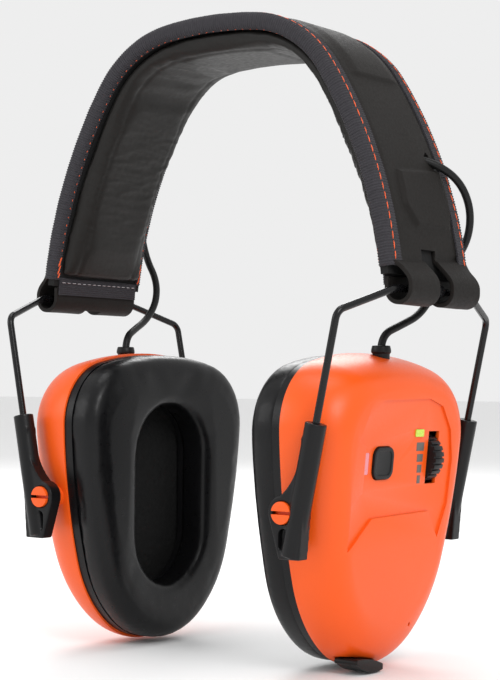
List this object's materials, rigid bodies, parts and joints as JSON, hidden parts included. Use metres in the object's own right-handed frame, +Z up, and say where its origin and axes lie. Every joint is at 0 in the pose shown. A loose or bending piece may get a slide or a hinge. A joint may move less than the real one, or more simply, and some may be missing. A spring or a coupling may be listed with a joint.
{
  "type": "earmuff hearing protector",
  "caption": "Folding electronic earmuff: padded fabric headband, wire frames, pivoting arms and two cushioned ear cups with controls on one cup.",
  "frame": {"origin": "midway between the two cup pivots, on the wearer's ear axis", "axes": "+X towards the cup with the controls, -Y to the front, +Z up to the crown of the headband"},
  "size_m": [0.165, 0.1022, 0.2234],
  "materials": {
    "band_fabric": "smooth warm-black synthetic cover fabric",
    "band_foam": "closed-cell foam",
    "spring_steel": "spring steel strip",
    "lining": "wrinkled synthetic leather",
    "binding": "ribbed grosgrain tape with stitching",
    "black_steel": "black coated steel",
    "arm_plastic": "satin black moulding",
    "orange_shell": "satin orange moulding",
    "seal": "glossy black ring",
    "black_plastic": "black moulding",
    "cushion": "smooth black synthetic leather",
    "liner_foam": "open-cell black foam",
    "speaker": "speaker frame and cone",
    "rubber": "matt black rubber",
    "metal_can": "component can",
    "window": "pink-mauve window",
    "green_lens": "green lens",
    "board": "green solder mask",
    "cell": "foil pouch cell"
  },
  "bodies": {
    "headband": {"outer_cover": "band_fabric", "band_foam": "band_foam", "spring_strip": "spring_steel", "inner_pad_cover": "lining", "inner_pad_foam": "band_foam", "front_binding": "binding", "rear_binding": "binding", "lead_in_band": "rubber", "right_end_binding": "binding", "left_end_binding": "binding", "right_hinge_clip": "black_steel", "left_hinge_clip": "black_steel", "right_lead": "rubber", "left_lead": "rubber"},
    "right_frame": {"right_wire_frame": "black_steel"},
    "right_yoke": {"right_front_arm": "arm_plastic", "right_rear_arm": "arm_plastic"},
    "right_cup": {"right_shell": "orange_shell", "right_seal_ring": "seal", "right_baffle": "black_plastic", "right_cushion_cover": "cushion", "right_cushion_foam": "band_foam", "right_acoustic_foam": "liner_foam", "right_speaker": "speaker", "right_cable_gland": "rubber", "right_microphone": "metal_can", "led_window": "window", "indicator_led": "green_lens", "circuit_board": "board", "power_switch": "metal_can", "volume_pot": "black_plastic", "charging_port": "metal_can"},
    "left_frame": {"left_wire_frame": "black_steel"},
    "left_yoke": {"left_front_arm": "arm_plastic", "left_rear_arm": "arm_plastic"},
    "left_cup": {"left_shell": "orange_shell", "left_seal_ring": "seal", "left_baffle": "black_plastic", "left_cushion_cover": "cushion", "left_cushion_foam": "band_foam", "left_acoustic_foam": "liner_foam", "left_speaker": "speaker", "left_cable_gland": "rubber", "left_microphone": "metal_can", "left_battery": "cell"},
    "power_button": {"power_button": "black_plastic"},
    "volume_wheel": {"volume_wheel": "black_plastic"},
    "port_cover": {"port_cover": "rubber"}
  },
  "joints": [
    {"name": "right_fold", "type": "hinge", "parent": "headband", "child": "right_frame", "pos_m": [0.0773, 0, 0.0716], "axis": [0, 1, 0], "range_deg": [-10, 38], "deforming": ["right_lead"]},
    {"name": "right_height", "type": "slide", "parent": "right_frame", "child": "right_yoke", "axis": [0.2079, 0, 0.9781], "range_m": [-0.012, 0.014]},
    {"name": "right_tilt", "type": "hinge", "parent": "right_yoke", "child": "right_cup", "pos_m": [0.0523, 0, 0], "axis": [0, 1, 0], "range_deg": [-12, 12]},
    {"name": "left_fold", "type": "hinge", "parent": "headband", "child": "left_frame", "pos_m": [-0.0773, 0, 0.0716], "axis": [0, 1, 0], "range_deg": [-38, 10], "deforming": ["left_lead"]},
    {"name": "left_height", "type": "slide", "parent": "left_frame", "child": "left_yoke", "axis": [0.2079, 0, -0.9781], "range_m": [-0.014, 0.012]},
    {"name": "left_tilt", "type": "hinge", "parent": "left_yoke", "child": "left_cup", "pos_m": [-0.0523, 0, 0], "axis": [0, 1, 0], "range_deg": [-12, 12]},
    {"name": "button_press", "type": "slide", "parent": "right_cup", "child": "power_button", "axis": [-0.9954, 0, 0.0958], "range_m": [0, 0.0007], "stiffness_N_per_m": 900},
    {"name": "volume_turn", "type": "hinge", "parent": "right_cup", "child": "volume_wheel", "pos_m": [0.0613, 0.0178, 0.016], "axis": [0, 1, 0], "range_deg": [0, 270]},
    {"name": "port_open", "type": "hinge", "parent": "right_cup", "child": "port_cover", "pos_m": [0.055, -0.0161, -0.05043], "axis": [-1, 0, 0], "range_deg": [0, 100]}
  ]
}
